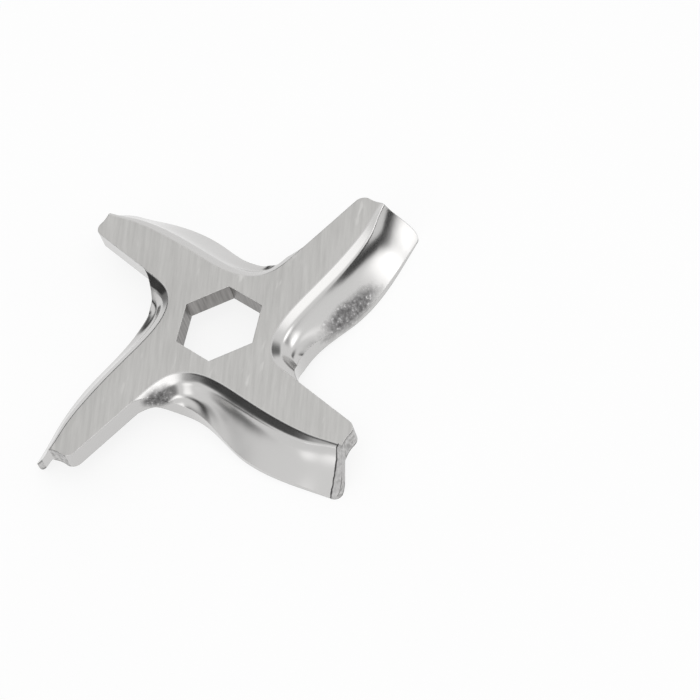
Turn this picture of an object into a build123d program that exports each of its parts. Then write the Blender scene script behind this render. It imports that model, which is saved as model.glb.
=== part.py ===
from build123d import *
from collections import namedtuple
import math
import os

# Four-armed meat grinder knife, cast in one piece and then ground and polished.
# Millimetres and degrees. The origin is on the drive hole's axis at the level of the
# wings' lowest edges, +Z points out of the ground face, and +X is parallel to one cutting edge.
# The arm drawn here lies along +X, with its wing on the -Y side. The others are turned copies.

# ---- driving dimensions -------------------------------------------------------------
ARM_COUNT = 4
OVERALL_HEIGHT = 5.3        # ground face above the wings' lowest edges
PLATE_THICKNESS = 2.3       # hub and cutting bars
HEX_ACROSS_FLATS = 9.2      # drive hole
HEX_TURN = -24.0            # a corner of the drive hole, from the cutting edge
EDGE_LEAD = 0.25            # the cutting edge lies this far ahead of its arm's centre line
EDGE_REACH = 23.6           # axis to the end of a cutting edge
CORNER_RADIUS = 1.2         # rounded end of a cutting edge, seen from above
WING_CORNER_RADIUS = 0.9    # rounded outer corner of a wing, seen from above
SCOOP_START = 13.7          # axis to the point where a scoop leaves the edge before it
WING_FLARE = 1.65           # how far the wing's corner reaches past the cutting edge's end
WING_SPREAD = 6.15          # arm's centre line to the wing's outer corner at the end

BEVEL_ANGLE = 32.0          # polished bevel beside the ground land
BEVEL_WIDTH = 1.0
STEP_WIDTH = 0.75           # steep step below the bevel
STEP_DEPTH = 1.25
FOOT_WIDTH = 1.1            # thickness of a wing at its foot
FOOT_ROUND = 0.35           # rise of the foot at its two sides
UNDERCUT_START = 0.5        # the underside of a wing leaves the plate here, outside the land

# Border of the ground land, from the scoop's start round the neck and past the tip.
# x, y        a point of the border
# direction   the way the wing lies from there
# width       the wing's width
# rim, foot   heights of the wing's outer rim and of its lowest edge
# bevel, step shares of the bevel's width and of the step's depth: the bevel narrows towards
#             the tip, and the step is shallower where the scoop starts
Station = namedtuple("Station", "x y direction width rim foot bevel step")
STATIONS = (
    Station(EDGE_LEAD, -16.5, 0.0, 2.6, 3.4, 3.3, 1.0, 0.76),
    Station(EDGE_LEAD, -13.0, 0.0, 2.6, 3.4, 2.7, 1.0, 0.76),
    Station(0.40, -9.8, -12.0, 2.6, 3.4, 1.5, 1.0, 0.76),
    Station(1.70, -7.35, -45.0, 2.7, 3.2, 0.9, 1.0, 0.76),
    Station(5.20, -5.70, -75.0, 3.4, 2.6, 0.7, 1.0, 0.78),
    Station(10.5, -5.10, -90.0, 4.4, 1.1, 0.4, 1.0, 0.82),
    Station(15.5, -4.60, -91.0, 4.6, 0.7, 0.2, 1.0, 0.92),
    Station(20.0, -3.75, -90.0, 4.2, 0.6, 0.1, 0.80, 1.0),
    Station(23.4, -2.60, -87.0, 3.8, 0.6, 0.0, 0.36, 1.0),
    Station(31.0, -0.70, -85.0, 3.6, 0.5, 0.0, 0.20, 1.0),
)

# Outer side of a wing in plan, between the scoop's start and the wing's outer corner.
OUTER_SIDE = ((1.2, -11.7), (3.3, -9.9), (7.0, -9.1), (12.0, -9.4), (18.0, -8.5))

# End face of an arm in plan: past the end of the cutting edge, and from the centre line.
END_FACE = ((0.25, -2.5), (1.25, -4.4))

# ---- clearances of the cutting tools, not sizes of the knife ------------------------
OVERRUN = 2.0
TOOL_HEIGHT = 12.0

UP = Vector(0, 0, 1)


def rail(across_of, height_of):
    """Smooth line along the wing, at a distance across it and a height for each station."""
    points = []
    for s in STATIONS:
        heading = math.radians(s.direction)
        across = across_of(s)
        x = s.x + across * math.cos(heading)
        y = s.y + across * math.sin(heading)
        points.append(Vector(x, y, height_of(s)))
    parameters = [i / (len(points) - 1) for i in range(len(points))]
    return Wire([Edge.make_spline(points, parameters=parameters)])


def swept_tool(rails, direction):
    """Solid tool on the upper or lower side of the surface lofted through the rails."""
    surface = Shell.make_loft(rails).faces()[0]
    return Solid.extrude(surface, direction * TOOL_HEIGHT)


def bevel_height(across):
    """Height of the bevel's face at a distance across it from the land's border."""
    return OVERALL_HEIGHT - across * math.tan(math.radians(BEVEL_ANGLE))


def bevel_tool():
    """Removes what stands above the bevel beside the ground land."""
    rails = [
        rail(lambda s: -OVERRUN, lambda s: bevel_height(-OVERRUN)),
        rail(lambda s: s.width, lambda s: bevel_height(s.width)),
    ]
    return swept_tool(rails, UP)


def scoop_tool():
    """Removes what stands above the steep step and the hollow face of the wing."""

    def crease(s):
        return BEVEL_WIDTH * s.bevel

    def drop(s):
        return STEP_DEPTH * s.step

    def step_top(s):
        return bevel_height(crease(s))

    rails = [
        rail(lambda s: crease(s) - STEP_WIDTH, lambda s: step_top(s) + drop(s)),
        rail(crease, step_top),
        rail(lambda s: crease(s) + STEP_WIDTH, lambda s: max(step_top(s) - drop(s), s.rim)),
        rail(lambda s: s.width, lambda s: s.rim),
        rail(
            lambda s: s.width + OVERRUN,
            lambda s: s.rim - OVERRUN * (step_top(s) - s.rim) / s.width,
        ),
    ]
    return swept_tool(rails, UP)


def underside_tool():
    """Removes what lies under the wing, up to its hollow underside and its rounded foot."""
    plate_bottom = OVERALL_HEIGHT - PLATE_THICKNESS
    rails = [
        rail(lambda s: -OVERRUN, lambda s: plate_bottom + OVERRUN),
        rail(lambda s: UNDERCUT_START, lambda s: plate_bottom),
        rail(lambda s: s.width - FOOT_WIDTH, lambda s: s.foot + FOOT_ROUND),
        rail(lambda s: s.width - FOOT_WIDTH / 2, lambda s: s.foot),
        rail(lambda s: s.width + OVERRUN, lambda s: s.foot + FOOT_ROUND),
    ]
    return swept_tool(rails, -UP)


def arm_outline():
    """Plan of one arm: its wing's outer side, its end face and its cutting edge."""
    start = Vector(EDGE_LEAD, -SCOOP_START)
    corner = Vector(EDGE_REACH + WING_FLARE, -WING_SPREAD)
    tip = Vector(EDGE_REACH, EDGE_LEAD)
    side = Edge.make_spline([start] + [Vector(*p) for p in OUTER_SIDE] + [corner])
    end_points = [Vector(EDGE_REACH + past, across) for past, across in END_FACE]
    end = Edge.make_spline([tip] + end_points + [corner])
    inner = Vector(EDGE_LEAD, EDGE_LEAD)
    edge = Edge.make_line(inner, tip)
    root = Edge.make_line(start, inner)
    outline = Face(Wire([root, edge, end, side]))
    leading_corner = outline.vertices().sort_by_distance(tip)[0]
    outline = outline.fillet_2d(CORNER_RADIUS, [leading_corner])
    wing_corner = outline.vertices().sort_by_distance(corner)[0]
    return outline.fillet_2d(WING_CORNER_RADIUS, [wing_corner])


def wing_area():
    """Plan of the wings' side of the land's border, past the arm's end."""
    border = rail(lambda s: 0, lambda s: 0)
    past_rim = rail(lambda s: s.width + 2 * OVERRUN, lambda s: 0)
    first = Edge.make_line(border @ 0, past_rim @ 0)
    last = Edge.make_line(border @ 1, past_rim @ 1)
    return Face(Wire(border.edges() + past_rim.edges() + [first, last]))


def arm():
    """One arm with its quarter of the hub."""
    outline = arm_outline()
    plate_base = Pos(0, 0, OVERALL_HEIGHT - PLATE_THICKNESS) * outline
    plate = extrude(plate_base, PLATE_THICKNESS, dir=UP)
    full_depth = extrude(outline, OVERALL_HEIGHT, dir=UP)
    wing_side = extrude(wing_area(), OVERALL_HEIGHT, dir=UP)
    wing = (full_depth & wing_side) - underside_tool()
    return plate + wing - bevel_tool() - scoop_tool()


def drive_hole():
    """Six-sided hole through the hub."""
    section = RegularPolygon(HEX_ACROSS_FLATS / 2, 6, major_radius=False)
    turned = Rot(0, 0, HEX_TURN) * section
    return extrude(turned, OVERALL_HEIGHT, dir=UP)


def knife():
    """The whole knife."""
    single = arm()
    star = single
    for i in range(1, ARM_COUNT):
        star = star + Rot(0, 0, i * 360 / ARM_COUNT) * single
    return star - drive_hole()


os.makedirs("parts", exist_ok=True)
shape = knife()
export_step(shape, "parts/grinder_knife.step")
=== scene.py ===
import math

import bpy
import numpy as np
from mathutils import Euler, Matrix, Vector


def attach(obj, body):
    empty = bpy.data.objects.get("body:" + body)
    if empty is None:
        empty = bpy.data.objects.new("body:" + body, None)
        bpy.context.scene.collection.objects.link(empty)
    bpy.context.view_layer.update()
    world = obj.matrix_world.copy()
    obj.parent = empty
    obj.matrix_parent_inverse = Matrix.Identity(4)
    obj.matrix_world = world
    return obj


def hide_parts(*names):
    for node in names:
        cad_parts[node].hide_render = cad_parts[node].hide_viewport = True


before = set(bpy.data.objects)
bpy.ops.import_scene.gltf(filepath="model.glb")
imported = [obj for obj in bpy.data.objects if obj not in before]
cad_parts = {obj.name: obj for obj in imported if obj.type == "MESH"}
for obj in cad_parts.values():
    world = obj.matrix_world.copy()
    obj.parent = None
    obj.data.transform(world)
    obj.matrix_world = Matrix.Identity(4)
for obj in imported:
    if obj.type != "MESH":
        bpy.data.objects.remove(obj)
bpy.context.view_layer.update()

MM = 0.001

# ---- the knife's sizes in millimetres, as in its CAD source ---------------------------
ARM_COUNT = 4
OVERALL_HEIGHT = 5.3
PLATE_THICKNESS = 2.3
HEX_ACROSS_FLATS = 9.2
HEX_TURN = -24.0            # degrees
EDGE_LEAD = 0.25
EDGE_REACH = 23.6
CORNER_RADIUS = 1.2
WING_CORNER_RADIUS = 0.9
SCOOP_START = 13.7
WING_FLARE = 1.65
WING_SPREAD = 6.15
BEVEL_ANGLE = 32.0          # degrees
BEVEL_WIDTH = 1.0
STEP_WIDTH = 0.75
STEP_DEPTH = 1.25
FOOT_WIDTH = 1.1
FOOT_ROUND = 0.35
UNDERCUT_START = 0.5

# x, y, direction of the wing, wing width, rim height, foot height
STATIONS = np.array([
    (EDGE_LEAD, -16.5, 0.0, 2.6, 3.4, 3.3),
    (EDGE_LEAD, -13.0, 0.0, 2.6, 3.4, 2.7),
    (0.40, -9.8, -12.0, 2.6, 3.4, 1.5),
    (1.70, -7.35, -45.0, 2.7, 3.2, 0.9),
    (5.20, -5.70, -75.0, 3.4, 2.6, 0.7),
    (10.5, -5.10, -90.0, 4.4, 1.1, 0.4),
    (15.5, -4.60, -91.0, 4.6, 0.7, 0.2),
    (20.0, -3.75, -90.0, 4.2, 0.6, 0.1),
    (23.4, -2.60, -87.0, 3.8, 0.6, 0.0),
    (31.0, -0.70, -85.0, 3.6, 0.5, 0.0),
])
# shares of the bevel's width and of the step's depth at the stations: the bevel narrows
# towards the tip, and the step is shallower where the scoop starts
BEVEL_SHARE = np.array([1.0, 1.0, 1.0, 1.0, 1.0, 1.0, 1.0, 0.80, 0.36, 0.20])
STEP_SHARE = np.array([0.76, 0.76, 0.76, 0.76, 0.78, 0.82, 0.92, 1.0, 1.0, 1.0])
OUTER_SIDE = ((1.2, -11.7), (3.3, -9.9), (7.0, -9.1), (12.0, -9.4), (18.0, -8.5))
END_FACE = ((0.25, -2.5), (1.25, -4.4))

# ---- how its mesh is made, in millimetres too -----------------------------------------
MARGIN = 1.0                # tools and roots run this far past what they cut or join
TOOL_HEIGHT = 12.0
ROOT_CORNER = (-MARGIN, -12.0)
PAST_RIM = 1.2              # a wing's plan runs this far past its rim
LAND_CLEARANCE = (0.02, 0.003)      # of the upper tool over the flat face, and at its border
LAST_COLUMN = 0.985         # share of the stations' line that the tools need
FINE = 240                  # columns along a wing's surfaces
# points on each side of an arm, on its end and on a rounded corner
SIDE_POINTS, END_POINTS, ARC_POINTS = 500, 200, 14
# points of a section: before the border, close together over the bevel, wider after it
LEAD_POINTS = (-0.95, -0.7, -0.5, -0.35)
CLOSE_FROM, CLOSE_PAST_BEVEL, CLOSE = -0.25, 0.5, 0.06
WIDE_PAST_BEVEL, WIDE_TO, WIDE = 0.55, 7.2, 0.12
# an outline keeps a point that bends by so much, or by little after so long a run
SHARP_BEND, SLIGHT_BEND, LONG_RUN = 0.02, 1e-5, 0.35

BORDER_SOFTNESS = 0.24      # lapping leaves the border of the flat face this crisp
CREASE_SOFTNESS = 0.48      # and polishing rolls the crease of a wing over this far
TIP_SOFTNESS = 0.18         # and less at its tip
BORDER_TO_CREASE = (0.25, 0.6)      # from the border on, where the one gives way to the other
NECK_TO_TIP = (0.45, 0.85)  # shares of a wing's length between which its crease turns crisper
SOFTENING = (1, 6, 15, 20, 15, 6, 1)    # weights of a section's points round each point

# ---- its finishes, in the order of its material slots, and where they lie -------------
LAPPED, POLISHED, CAST_END, BORE, UNDERSIDE = range(5)
TOP_SLACK = 0.02            # the flat face is as high as this under the overall height
END_ZONE = 2.0              # the cast ends lie within this of the cutting edge's end
END_OUTWARD = 20.0          # and face outward at this distance or more from the axis
BORE_REACH = 5.6            # the drive hole's walls lie within this radius
EDGE_WEAR = 0.15            # radius to which every edge is worn
GRIND_TURN = math.radians(-46)      # direction of the lapping scratches
FLECK_STRAY = 0.12          # radians by which the flecks stray from it
# places that the polishing wheel missed: centre and reach
ROUGH_PATCHES = (
    ((12.0, -8.6, 1.8), (5.2, 1.4, 1.5)),
    ((-11.4, -1.6, 4.2), (2.4, 1.5, 1.3)),
)
# the front arm's cast end: its outward direction in plan, where its band of cast skin starts
# along that, how far on the band is full, where a painted shade line beside it begins to fade and
# ends, and how far it waves
END_BAND_WAY = (0.30, -1.0, 0.0)
BAND_START = 22.75
BAND_FULL, PAINTED_LINE_FADES, PAINTED_LINE_END = 0.06, 0.16, 0.24
BAND_WAVE = 0.5

# ---- the studio ----------------------------------------------------------------------
ROOM_LEVEL = 1.0
DARKEST = 0.05
# azimuth, elevation and radius in degrees, and what each adds to the level or takes away
SOFT_BOXES = (
    (-50.0, 60.0, 22.0, 0.65),
    (-40.0, 0.0, 20.0, -1.00),
    (-54.0, 3.0, 14.0, -0.80),
    (-61.0, 9.0, 8.0, -0.75),
    (-41.0, 22.0, 12.0, 0.95),
    (-33.0, 19.0, 9.0, 0.80),
    (6.0, 31.0, 20.0, -0.80),
    (142.0, 38.0, 15.5, -0.90),
    (146.0, 52.0, 16.0, -0.70),
    (141.0, 20.0, 12.0, -1.00),
    (123.0, 29.0, 17.0, -0.85),
    (146.0, 4.0, 13.0, -0.95),
    (170.0, 52.0, 14.0, -0.45),
    (175.0, 4.0, 8.0, 0.50),
    (-170.0, 24.0, 13.0, 0.60),
    (112.0, 8.0, 28.0, -0.75),
    (79.0, 16.0, 20.0, -0.95),
    (-120.0, 62.0, 28.0, 0.75),
    (-115.0, 16.0, 32.0, -0.70),
)
FLOOR_HALF = 600.0          # millimetres, as are the next two
FLOOR_DROP = 0.02           # the floor lies this far under the feet
CLOUD_SIZE = 30.0           # grain of its faint clouding
FLOOR_GLOW = 0.84           # share of the floor that is plain white to the eye
CAMERA_PLACE = (-63.1217, -155.2865, 200.3625)      # millimetres
CAMERA_TURN = (36.898, 12.846, -43.034)             # degrees
CAMERA_LENS = 115.6
CAMERA_SENSOR = 36.0


def spline(points, parameters, knots=None):
    """Smooth curve through points at their knots, which are even steps from 0 to 1 if not given."""
    points = np.asarray(points, float)
    n = len(points)
    knots = np.linspace(0, 1, n) if knots is None else knots
    h = np.diff(knots)
    # second derivatives of a cubic spline whose end pieces continue their neighbours
    a = np.zeros((n, n))
    b = np.zeros_like(points)
    for i in range(1, n - 1):
        a[i, i - 1:i + 2] = h[i - 1], 2 * (h[i - 1] + h[i]), h[i]
        b[i] = 6 * (
            (points[i + 1] - points[i]) / h[i] - (points[i] - points[i - 1]) / h[i - 1]
        )
    a[0, :3] = h[1], -(h[0] + h[1]), h[0]
    a[-1, -3:] = h[-1], -(h[-1] + h[-2]), h[-2]
    m = np.linalg.solve(a, b)
    t = np.asarray(parameters, float)
    i = np.clip(np.searchsorted(knots, t, side="right") - 1, 0, n - 2)
    hi = h[i][:, None]
    f = ((t - knots[i]) / h[i])[:, None]
    g = 1 - f
    return (
        g * points[i] + f * points[i + 1]
        + ((g**3 - g) * m[i] + (f**3 - f) * m[i + 1]) * hi**2 / 6
    )


def by_length(points):
    """Knots from 0 to 1 in proportion to the distances between the points."""
    steps = np.linalg.norm(np.diff(points, axis=0), axis=1)
    return np.concatenate([[0], np.cumsum(steps)]) / steps.sum()


def drawn(points, count):
    """So many points on the smooth curve through a few."""
    return spline(points, np.linspace(0, 1, count), by_length(points))


def rails(across, heights, columns):
    """Points of the lines at these distances across the wing, for every column."""
    heading = np.radians(STATIONS[:, 2])
    found = []
    for a, z in zip(across, heights):
        a = np.broadcast_to(a, len(STATIONS))
        z = np.broadcast_to(z, len(STATIONS))
        points = np.column_stack([
            STATIONS[:, 0] + a * np.cos(heading),
            STATIONS[:, 1] + a * np.sin(heading),
            z,
        ])
        found.append(spline(points, columns))
    return np.array(found)


def hollow(across, heights, columns, start, end, rows):
    """Surface that runs smoothly over the rails, from one rail to another."""
    lines = rails(across, heights, columns)
    lines = lines.reshape(len(lines), -1)
    knots = by_length(lines)
    where = np.linspace(knots[start], knots[end], rows)
    return spline(lines, where, knots).reshape(rows, len(columns), 3)


def along(section, distances):
    """Points at distances along each column's section, measured from its second point."""
    out = np.empty((*distances.shape, 3))
    for c in range(distances.shape[1]):
        line = section[:, c]
        steps = np.linalg.norm(np.diff(line, axis=0), axis=1)
        s = np.concatenate([[0], np.cumsum(steps)]) - steps[0]
        for k in range(3):
            out[:, c, k] = np.interp(distances[:, c], s, line[:, k])
    return out


def mesh_object(name, vertices, faces):
    """New object in the scene, made of these vertices and faces."""
    data = bpy.data.meshes.new(name)
    data.from_pydata([tuple(v) for v in vertices], [], faces)
    data.validate()
    made = bpy.data.objects.new(name, data)
    bpy.context.scene.collection.objects.link(made)
    return made


def slab(name, grid, lift):
    """Closed solid between a surface and its copy raised by lift."""
    rows, columns, _ = grid.shape
    surface = grid.reshape(-1, 3)
    count = len(surface)
    vertices = np.concatenate([surface, surface * (1, 1, 0) + (0, 0, lift)])
    index = np.arange(count).reshape(rows, columns)
    a, b = index[:-1, :-1].ravel(), index[:-1, 1:].ravel()
    c, d = index[1:, 1:].ravel(), index[1:, :-1].ravel()
    lower = np.column_stack([a, b, c, d])
    upper = np.column_stack([d, c, b, a]) + count
    rim = np.concatenate([
        index[0, :], index[1:, -1], index[-1, -2::-1], index[-2:0:-1, 0],
    ])
    ahead = np.roll(rim, -1)
    sides = np.column_stack([ahead, rim, rim + count, ahead + count])
    faces = np.concatenate([lower, upper, sides])
    if lift < 0:
        faces = faces[:, ::-1]
    return mesh_object(name, vertices, faces.tolist())


def prism(name, outline, bottom, top):
    """Closed solid of a plan outline between two heights."""
    outline = np.asarray(outline)
    n = len(outline)
    vertices = np.concatenate([
        np.column_stack([outline, np.full(n, bottom)]),
        np.column_stack([outline, np.full(n, top)]),
    ])
    faces = [list(range(n))[::-1], list(range(n, 2 * n))]
    faces += [[i, (i + 1) % n, (i + 1) % n + n, i + n] for i in range(n)]
    return mesh_object(name, vertices, faces)


def combine(base, operation, *others):
    """Joins or cuts a solid with others, and clears them away."""
    for other in others:
        step = base.modifiers.new(operation, "BOOLEAN")
        step.operation = operation
        step.object = other
        step.solver = "MANIFOLD"
    graph = bpy.context.evaluated_depsgraph_get()
    result = bpy.data.meshes.new_from_object(base.evaluated_get(graph))
    base.modifiers.clear()
    old = base.data
    base.data = result
    bpy.data.meshes.remove(old)
    for other in others:
        bpy.data.objects.remove(other)
    return base


def rounded(outline, radius, near):
    """Outline with its corner nearest to a point rounded by a rolled circle."""
    n = len(outline)
    k = np.argmin(np.hypot(*(outline - near).T))
    run = np.roll(outline, n // 2 - k, axis=0)
    middle = n // 2
    back, ahead = run[:middle + 1], run[middle:]
    turn = np.arctan2(*(ahead[1] - ahead[0])[::-1]) - np.arctan2(*(back[-1] - back[-2])[::-1])
    inward = np.sign((turn + math.pi) % (2 * math.pi) - math.pi)

    def offset(line):
        step = np.gradient(line, axis=0)
        step /= np.linalg.norm(step, axis=1)[:, None]
        return line + inward * radius * step[:, ::-1] * (-1, 1)

    one, two = offset(back), offset(ahead)
    gaps = np.linalg.norm(one[:, None] - two[None], axis=2)
    i, j = np.unravel_index(gaps.argmin(), gaps.shape)
    centre = (one[i] + two[j]) / 2
    start = math.atan2(*(back[i] - centre)[::-1])
    sweep = math.atan2(*(ahead[j] - centre)[::-1]) - start
    sweep = (sweep + math.pi) % (2 * math.pi) - math.pi
    angles = start + sweep * np.linspace(0, 1, ARC_POINTS)
    arc = centre + radius * np.column_stack([np.cos(angles), np.sin(angles)])
    return np.concatenate([back[:i], arc, ahead[j + 1:]])


def arm_outline():
    """Plan of one arm, with its root run on into the hub."""
    corner = np.array([EDGE_REACH + WING_FLARE, -WING_SPREAD])
    tip = np.array([EDGE_REACH, EDGE_LEAD])
    side = drawn([(EDGE_LEAD, -SCOOP_START), *OUTER_SIDE, corner], SIDE_POINTS)
    bulge = [(EDGE_REACH + past, y) for past, y in END_FACE[::-1]]
    end = drawn([corner, *bulge, tip], END_POINTS)
    edge = np.linspace(tip, (ROOT_CORNER[0], EDGE_LEAD), SIDE_POINTS)
    outline = np.concatenate([side, end[1:], edge[1:], [ROOT_CORNER]])
    outline = rounded(outline, CORNER_RADIUS, tip)
    outline = rounded(outline, WING_CORNER_RADIUS, corner)
    # points that a straight run doesn't need are left out
    kept = [outline[0]]
    for point, after in zip(outline[1:], outline[2:]):
        ahead, last = after - point, point - kept[-1]
        bend = abs(ahead[0] * last[1] - ahead[1] * last[0])
        bend /= np.linalg.norm(ahead) * np.linalg.norm(last) + 1e-12
        if bend > SHARP_BEND or (np.linalg.norm(last) > LONG_RUN and bend > SLIGHT_BEND):
            kept.append(point)
    return np.array(kept + [outline[-1]])


def upper_tool(columns):
    """Solid that cuts the bevel, the step and the hollow wing, with their creases polished over."""
    slope = math.tan(math.radians(BEVEL_ANGLE))
    bevel = BEVEL_WIDTH * BEVEL_SHARE
    step_top = OVERALL_HEIGHT - bevel * slope
    depth = STEP_DEPTH * STEP_SHARE
    width, rim = STATIONS[:, 3], STATIONS[:, 4]
    land = rails((-MARGIN, 0.0), [OVERALL_HEIGHT + clear for clear in LAND_CLEARANCE], columns)
    scoop = hollow(
        (bevel - STEP_WIDTH, bevel, bevel + STEP_WIDTH, width, width + MARGIN),
        (step_top + depth, step_top, np.maximum(step_top - depth, rim), rim,
         rim - MARGIN * (step_top - rim) / width),
        columns, start=1, end=4, rows=60,
    )
    section = np.concatenate([land, scoop])

    bevel_run = math.hypot(BEVEL_WIDTH, BEVEL_WIDTH * slope)
    distances = np.concatenate([
        LEAD_POINTS,
        np.arange(CLOSE_FROM, bevel_run + CLOSE_PAST_BEVEL, CLOSE),
        np.arange(bevel_run + WIDE_PAST_BEVEL, WIDE_TO, WIDE),
    ])
    distances = np.repeat(distances[:, None], len(columns), axis=1)
    on_wing = np.interp(distances, BORDER_TO_CREASE, (0, 1))
    crease = np.interp(columns, NECK_TO_TIP, (CREASE_SOFTNESS, TIP_SOFTNESS))
    softness = BORDER_SOFTNESS + (crease - BORDER_SOFTNESS) * on_wing
    top = 0
    for shift, weight in zip(np.linspace(-1, 1, len(SOFTENING)), SOFTENING):
        top = top + along(section, distances + shift * softness) * weight / sum(SOFTENING)
    top[0] = section[0]
    return slab("upper_tool", top, TOOL_HEIGHT)


def lower_tool(columns):
    """Solid that cuts the hollow underside of a wing, down to its rounded foot."""
    plate_bottom = OVERALL_HEIGHT - PLATE_THICKNESS
    width, foot = STATIONS[:, 3], STATIONS[:, 5]
    under = hollow(
        (-MARGIN, UNDERCUT_START, width - FOOT_WIDTH, width - FOOT_WIDTH / 2, width + MARGIN),
        (plate_bottom + MARGIN, plate_bottom, foot + FOOT_ROUND, foot, foot + FOOT_ROUND),
        columns, start=0, end=4, rows=40,
    )
    return slab("lower_tool", under, -TOOL_HEIGHT)


def wing_block(columns):
    """Solid over the plan of a wing, from the border of the flat face to past the rim."""
    border = rails((0.0,), (0.0,), columns)[0][:, :2]
    past = rails((STATIONS[:, 3] + PAST_RIM,), (0.0,), columns)[0][:, :2]
    outline = np.concatenate([border[::-1], past])
    return prism("wing_block", outline, -MARGIN, OVERALL_HEIGHT + MARGIN)


def one_arm():
    """One arm with its quarter of the hub."""
    outline = arm_outline()
    plate = prism("plate", outline, OVERALL_HEIGHT - PLATE_THICKNESS, OVERALL_HEIGHT)
    wing = prism("wing", outline, 0.0, OVERALL_HEIGHT)
    wing = combine(wing, "INTERSECT", wing_block(np.linspace(0.0, LAST_COLUMN, FINE // 2)))
    columns = np.linspace(0.0, LAST_COLUMN, FINE)
    wing = combine(wing, "DIFFERENCE", lower_tool(columns[::2]))
    whole = combine(plate, "UNION", wing)
    return combine(whole, "DIFFERENCE", upper_tool(columns))


def read(items, name, kind, width=1):
    """A value of every item as an array, with a row for each where it has a width."""
    found = np.empty(len(items) * width, kind)
    items.foreach_get(name, found)
    return found.reshape(-1, width) if width > 1 else found


def quarter_turned(source, turns):
    """Copy of a solid turned by whole quarter turns, exactly."""
    data = source.data.copy()
    places = read(data.vertices, "co", np.float32, 3)
    for _ in range(turns):
        places[:, 0], places[:, 1] = -places[:, 1].copy(), places[:, 0].copy()
    data.vertices.foreach_set("co", places.ravel())
    made = bpy.data.objects.new(f"arm_{turns}", data)
    bpy.context.scene.collection.objects.link(made)
    return made


def knife_mesh():
    """The four arms joined into a star, with the six-sided drive hole cut through."""
    first = one_arm()
    others = [quarter_turned(first, i) for i in range(1, ARM_COUNT)]
    star = combine(first, "UNION", *others)
    corner = HEX_ACROSS_FLATS / math.sqrt(3)
    angles = np.radians(HEX_TURN + 60.0 * np.arange(6))
    hexagon = np.column_stack([corner * np.cos(angles), corner * np.sin(angles)])
    hole = prism("hole", hexagon, -MARGIN, OVERALL_HEIGHT + MARGIN)
    return combine(star, "DIFFERENCE", hole)


def linear(code):
    """Linear colour of an sRGB hex code."""
    parts = [int(code[i:i + 2], 16) / 255 for i in (1, 3, 5)]
    parts = [p / 12.92 if p <= 0.04045 else ((p + 0.055) / 1.055) ** 2.4 for p in parts]
    return (*parts, 1.0)


def per(size_mm):
    """Texture scale at which one grain of the pattern is this many millimetres."""
    return 1 / (size_mm * MM)


def add(tree, kind, inputs=(), stops=(), **settings):
    """Adds a node with its settings and a ramp's stops, and links or fills its inputs."""
    made = tree.nodes.new("ShaderNode" + kind)
    for name, value in settings.items():
        setattr(made, name, value)
    for i, (position, code) in enumerate(stops):
        elements = made.color_ramp.elements
        stop = elements[i] if i < len(elements) else elements.new(position)
        stop.position = position
        stop.color = linear(code)
    for key, value in dict(inputs).items():
        if isinstance(value, bpy.types.NodeSocket):
            tree.links.new(value, made.inputs[key])
        else:
            made.inputs[key].default_value = value
    return made


def new_material(name):
    """New material without nodes, and its tree."""
    made = bpy.data.materials.new(name)
    made.use_nodes = True
    made.node_tree.nodes.clear()
    return made, made.node_tree


def steel_skin(tree, colour, roughness, height, strength, depth):
    """Ends a material as bare metal with worn edges and a relief of this depth in millimetres."""
    edge = add(tree, "Bevel", {"Radius": EDGE_WEAR * MM}, samples=4).outputs[0]
    bump = add(tree, "Bump", {"Height": height, "Strength": strength, "Distance": depth * MM,
                              "Normal": edge}).outputs[0]
    skin = add(tree, "BsdfPrincipled", {"Base Color": colour, "Metallic": 1.0,
                                        "Roughness": roughness, "Normal": bump})
    add(tree, "OutputMaterial", {"Surface": skin.outputs[0]})


def beside_edges(tree, reach, begins, full):
    """Mask of a surface's rim: it begins and is full where its normal turns by these cosines."""
    soft = add(tree, "Bevel", {"Radius": reach * MM}, samples=6).outputs[0]
    own = add(tree, "NewGeometry").outputs["Normal"]
    turn = add(tree, "VectorMath", {0: soft, 1: own}, operation="DOT_PRODUCT").outputs["Value"]
    return add(tree, "MapRange", {"Value": turn, "From Min": begins, "From Max": full}).outputs[0]


def rough_patch(tree, place, centre, reach):
    """Mask of a patch around a point, with both given in millimetres."""
    away = add(tree, "VectorMath", {0: place, 1: [c * MM for c in centre]}, operation="SUBTRACT")
    share = add(tree, "VectorMath", {0: away.outputs[0], 1: [1 / (r * MM) for r in reach]},
                operation="MULTIPLY")
    far = add(tree, "VectorMath", {0: share.outputs[0]}, operation="LENGTH").outputs["Value"]
    return add(tree, "MapRange", {"Value": far, "From Min": 1.5, "From Max": 0.2},
               interpolation_type="SMOOTHSTEP").outputs[0]


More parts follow.
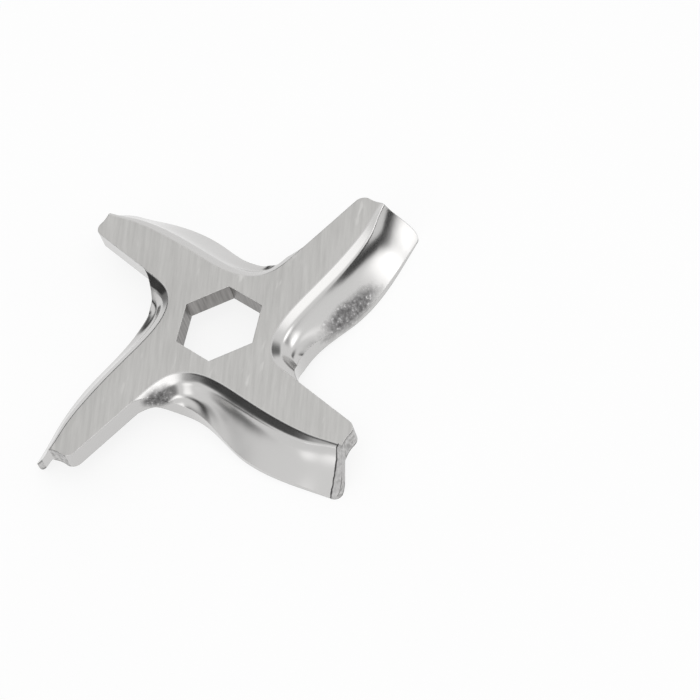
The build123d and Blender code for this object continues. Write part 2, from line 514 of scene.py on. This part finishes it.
def lapped_steel():
    """Flat face lapped on a stone: an even satin grey with faint long scratches and flecks, with a
    painted highlight beside its edges.
    """
    made, tree = new_material("lapped_steel")
    place = add(tree, "TexCoord").outputs["Object"]
    # real lapping scratches are finer: these are drawn coarse enough to show
    turned = add(tree, "Mapping", {"Vector": place, "Rotation": (0, 0, GRIND_TURN),
                                   "Scale": (1.0, 16.0, 1.0)}, vector_type="TEXTURE").outputs[0]
    scratch = add(tree, "TexNoise", {"Vector": turned, "Scale": per(0.45), "Detail": 4.0,
                                     "Roughness": 0.7}).outputs[0]
    short = add(tree, "Mapping", {"Vector": place, "Rotation": (0, 0, GRIND_TURN - FLECK_STRAY),
                                  "Scale": (1.0, 5.0, 1.0)}, vector_type="TEXTURE").outputs[0]
    fleck = add(tree, "TexNoise", {"Vector": short, "Scale": per(0.8), "Detail": 2.0}).outputs[0]
    fleck = add(tree, "MapRange", {"Value": fleck, "From Min": 0.66, "From Max": 0.80}).outputs[0]
    shade = add(tree, "ValToRGB", {"Fac": scratch}, ((0.30, "#BAB9B7"), (0.72, "#CAC9C7")))
    tone = add(tree, "Mix", {"Factor": fleck, "A": shade.outputs[0], "B": linear("#D6D5D3")},
               data_type="RGBA").outputs["Result"]
    # painted highlight: the flat face's colour is lightened beside its edges, where light would
    # glint
    painted_glint = beside_edges(tree, reach=0.16, begins=0.93, full=0.80)
    tone = add(tree, "Mix", {"Factor": painted_glint, "A": tone, "B": linear("#F4F3F2")},
               data_type="RGBA").outputs["Result"]
    cloud = add(tree, "TexNoise", {"Vector": place, "Scale": per(9.0), "Detail": 2.0}).outputs[0]
    gloss = add(tree, "MapRange", {"Value": cloud, "To Min": 0.32, "To Max": 0.44}).outputs[0]
    steel_skin(tree, tone, gloss, scratch, strength=0.2, depth=0.02)
    return made


def polished_steel():
    """Cast wing polished on a wheel: bright soft reflections, granular where the wheel missed."""
    made, tree = new_material("polished_cast_steel")
    place = add(tree, "TexCoord").outputs["Object"]
    grain = add(tree, "TexNoise", {"Vector": place, "Scale": per(0.42), "Detail": 3.0,
                                   "Roughness": 0.6}).outputs[0]
    ripple = add(tree, "TexNoise", {"Vector": place, "Scale": per(3.0), "Detail": 1.0}).outputs[0]
    ragged = add(tree, "TexNoise", {"Vector": place, "Scale": per(1.2), "Detail": 2.0}).outputs[0]
    near = 0.0
    for centre, reach in ROUGH_PATCHES:
        patch = rough_patch(tree, place, centre, reach)
        near = add(tree, "Math", {0: patch, 1: near}, operation="MAXIMUM").outputs[0]
    broken = add(tree, "Math", {0: ragged, 1: -0.5, 2: near}, operation="MULTIPLY_ADD").outputs[0]
    missed = add(tree, "MapRange", {"Value": broken, "From Min": -0.05,
                                    "From Max": 0.55}).outputs[0]
    specks = add(tree, "ValToRGB", {"Fac": grain},
                 ((0.34, "#626161"), (0.60, "#8C8B8B"), (0.78, "#FAF9F8"))).outputs[0]
    colour = add(tree, "Mix", {"Factor": missed, "A": linear("#C8C7C6"), "B": specks},
                 data_type="RGBA").outputs["Result"]
    # the front arm's end keeps a band of its cast skin, with a painted shade line beside it
    outward = add(tree, "VectorMath", {0: place, 1: END_BAND_WAY}, operation="DOT_PRODUCT")
    wavy = add(tree, "Math", {0: ragged, 1: BAND_WAVE * MM, 2: outward.outputs["Value"]},
               operation="MULTIPLY_ADD").outputs[0]
    band = add(tree, "MapRange", {
        "Value": wavy, "From Min": BAND_START * MM,
        "From Max": (BAND_START + BAND_FULL) * MM,
    }).outputs[0]
    past_painted_line = add(tree, "MapRange", {
        "Value": wavy, "From Min": (BAND_START + PAINTED_LINE_FADES) * MM,
        "From Max": (BAND_START + PAINTED_LINE_END) * MM,
    }).outputs[0]
    cast = add(tree, "Mix", {"Factor": grain, "A": linear("#8E8D8D"), "B": linear("#E4E3E2")},
               data_type="RGBA").outputs["Result"]
    # painted shade: a dark line in the colour beside the band of cast skin
    painted_shade = add(tree, "Mix", {"Factor": past_painted_line, "A": linear("#4E4D4D"), "B": cast},
               data_type="RGBA").outputs["Result"]
    colour = add(tree, "Mix", {"Factor": band, "A": colour, "B": painted_shade},
                 data_type="RGBA").outputs["Result"]
    missed = add(tree, "Math", {0: missed, 1: band}, operation="MAXIMUM").outputs[0]
    gloss = add(tree, "MapRange", {"Value": missed, "To Min": 0.15, "To Max": 0.40}).outputs[0]
    depth = add(tree, "MapRange", {"Value": missed, "To Min": 0.03, "To Max": 0.55}).outputs[0]
    grit = add(tree, "Math", {0: grain, 1: depth}, operation="MULTIPLY").outputs[0]
    height = add(tree, "Math", {0: ripple, 1: 0.4, 2: grit}, operation="MULTIPLY_ADD").outputs[0]
    steel_skin(tree, colour, gloss, height, strength=0.6, depth=0.06)
    return made


def cast_steel(name, light, dark, roughness, grit, painted_shade):
    """Cast skin: granular and dull, darker between the grains, with painted shade beside its edges.
    """
    made, tree = new_material(name)
    place = add(tree, "TexCoord").outputs["Object"]
    grain = add(tree, "TexNoise", {"Vector": place, "Scale": per(grit), "Detail": 3.0,
                                   "Roughness": 0.6}).outputs[0]
    shade = add(tree, "ValToRGB", {"Fac": grain}, ((0.35, dark), (0.65, light))).outputs[0]
    # painted shade: the colour is darkened beside the edges, where shade falls
    beside = beside_edges(tree, reach=painted_shade, begins=0.995, full=0.93)
    colour = add(tree, "Mix", {"Factor": beside, "A": shade, "B": linear("#5A5958")},
                 data_type="RGBA").outputs["Result"]
    steel_skin(tree, colour, roughness, grain, strength=0.7, depth=0.12)
    return made


def broached_steel():
    """Wall of the drive hole, broached along its axis: darker, with fine upright lines."""
    made, tree = new_material("broached_steel")
    place = add(tree, "TexCoord").outputs["Object"]
    # real broaching lines are finer: these are drawn coarse enough to show
    upright = add(tree, "Mapping", {"Vector": place, "Scale": (1.0, 1.0, 0.05)}).outputs[0]
    lines = add(tree, "TexNoise", {"Vector": upright, "Scale": per(0.3), "Detail": 3.0}).outputs[0]
    shade = add(tree, "ValToRGB", {"Fac": lines}, ((0.3, "#7C7A79"), (0.7, "#A5A3A1"))).outputs[0]
    steel_skin(tree, shade, 0.38, lines, strength=0.4, depth=0.04)
    return made


def face_finishes(centre, normal):
    """The finish of each face, from its middle in millimetres and the way it faces."""
    # the limits on a face's level and squareness are cosines of its normal's angles
    reach = np.max(np.abs(centre[:, :2]), axis=1)
    squareness = np.max(np.abs(normal[:, :2]), axis=1)
    outward = np.sum(normal[:, :2] * centre[:, :2], axis=1)
    level, radius = np.abs(normal[:, 2]), np.hypot(centre[:, 0], centre[:, 1])
    finish = np.full(len(centre), POLISHED, np.int32)
    finish[normal[:, 2] < -0.5] = UNDERSIDE
    at_end = (reach > EDGE_REACH - END_ZONE) & (outward > END_OUTWARD)
    finish[at_end & (level < 0.2) & (squareness > 0.9)] = CAST_END
    finish[(radius < BORE_REACH) & (level < 0.1)] = BORE
    on_top = centre[:, 2] > OVERALL_HEIGHT - TOP_SLACK
    finish[on_top & (normal[:, 2] > 0.99)] = LAPPED
    return finish


def finish_surfaces(knife):
    """Gives each face the finish of its place, and the lapped face a crisp border."""
    finishes = {
        LAPPED: lapped_steel(),
        POLISHED: polished_steel(),
        CAST_END: cast_steel("cast_end_steel", "#D0CFCE", "#A09F9E", 0.42, 0.45, 0.35),
        BORE: broached_steel(),
        UNDERSIDE: cast_steel("cast_underside_steel", "#B4B3B1", "#9A9998", 0.45, 0.3, 0.2),
    }
    mesh = knife.data
    mesh.materials.clear()
    for place in sorted(finishes):
        mesh.materials.append(finishes[place])
    faces = mesh.polygons
    finish = face_finishes(read(faces, "center", float, 3) / MM, read(faces, "normal", float, 3))
    faces.foreach_set("material_index", finish)
    faces.foreach_set("use_smooth", np.ones(len(faces), bool))
    mesh.update()
    mesh.set_sharp_from_angle(angle=math.radians(28))
    # an edge that one lapped face alone has is on the border
    lapped = np.repeat(finish == LAPPED, read(faces, "loop_total", np.int32))
    edge_of = read(mesh.loops, "edge_index", np.int32)
    beside = np.bincount(edge_of[lapped], minlength=len(mesh.edges))
    marks = mesh.attributes["sharp_edge"].data
    marks.foreach_set("value", read(marks, "value", bool) | (beside == 1))


def studio_light():
    """Even pale room with soft boxes and dark cards in it, and plain white to the eye."""
    world = bpy.data.worlds.new("studio")
    bpy.context.scene.world = world
    world.use_nodes = True
    tree = world.node_tree
    tree.nodes.clear()
    way = add(tree, "TexCoord").outputs["Generated"]
    level = ROOM_LEVEL
    for azimuth, elevation, radius, change in SOFT_BOXES:
        a, e = math.radians(azimuth), math.radians(elevation)
        aim = (math.cos(e) * math.cos(a), math.cos(e) * math.sin(a), math.sin(e))
        near = add(tree, "VectorMath", {0: way, 1: aim}, operation="DOT_PRODUCT").outputs["Value"]
        mask = add(tree, "MapRange", {
            "Value": near, "From Min": math.cos(math.radians(radius)), "From Max": 1.0,
        }, interpolation_type="SMOOTHSTEP").outputs[0]
        level = add(tree, "Math", {0: mask, 1: change, 2: level}, operation="MULTIPLY_ADD")
        level = level.outputs[0]
    level = add(tree, "Math", {0: level, 1: DARKEST}, operation="MAXIMUM").outputs[0]
    seen = add(tree, "LightPath").outputs["Is Camera Ray"]
    strength = add(tree, "Mix", {0: seen, 2: level, 3: 1.0}).outputs[0]
    light = add(tree, "Background", {"Color": (1, 1, 1, 1), "Strength": strength})
    add(tree, "OutputWorld", {"Surface": light.outputs[0]})


def pale_floor():
    """White table that keeps a soft shadow of the knife."""
    half, level = FLOOR_HALF * MM, -FLOOR_DROP * MM
    corners = [(-half, -half, level), (half, -half, level), (half, half, level),
               (-half, half, level)]
    floor = mesh_object("floor", corners, [(0, 1, 2, 3)])
    made, tree = new_material("white_table")
    place = add(tree, "TexCoord").outputs["Object"]
    cloud = add(tree, "TexNoise", {"Vector": place, "Scale": per(CLOUD_SIZE)}).outputs[0]
    tone = add(tree, "Mix", {"Factor": cloud, "A": linear("#F4F4F4"), "B": linear("#FAFAFA")},
               data_type="RGBA").outputs["Result"]
    matt = add(tree, "BsdfDiffuse", {"Color": tone})
    bright = add(tree, "Emission", {"Strength": 1.0})
    path = add(tree, "LightPath")
    seen = path.outputs["Is Camera Ray"]
    for kind in ("Is Glossy Ray", "Is Transmission Ray"):
        seen = add(tree, "Math", {0: seen, 1: path.outputs[kind]}, operation="MAXIMUM").outputs[0]
    part = add(tree, "Math", {0: seen, 1: FLOOR_GLOW}, operation="MULTIPLY").outputs[0]
    skin = add(tree, "MixShader", {0: part, 1: matt.outputs[0], 2: bright.outputs[0]})
    add(tree, "OutputMaterial", {"Surface": skin.outputs[0]})
    floor.data.materials.append(made)


def camera():
    """Camera that looks down on the knife from the front left, from far off."""
    data = bpy.data.cameras.new("camera")
    data.lens = CAMERA_LENS
    data.sensor_width = CAMERA_SENSOR
    data.clip_start = 0.01
    made = bpy.data.objects.new("camera", data)
    made.location = Vector(CAMERA_PLACE) * MM
    made.rotation_euler = Euler([math.radians(a) for a in CAMERA_TURN])
    bpy.context.scene.collection.objects.link(made)
    bpy.context.scene.camera = made


knife = knife_mesh()
knife.name = "knife"
knife.data.transform(Matrix.Scale(MM, 4))
finish_surfaces(knife)
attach(knife, "root")
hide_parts("grinder_knife")

studio_light()
pale_floor()
camera()
bpy.context.scene.view_settings.view_transform = "Standard"
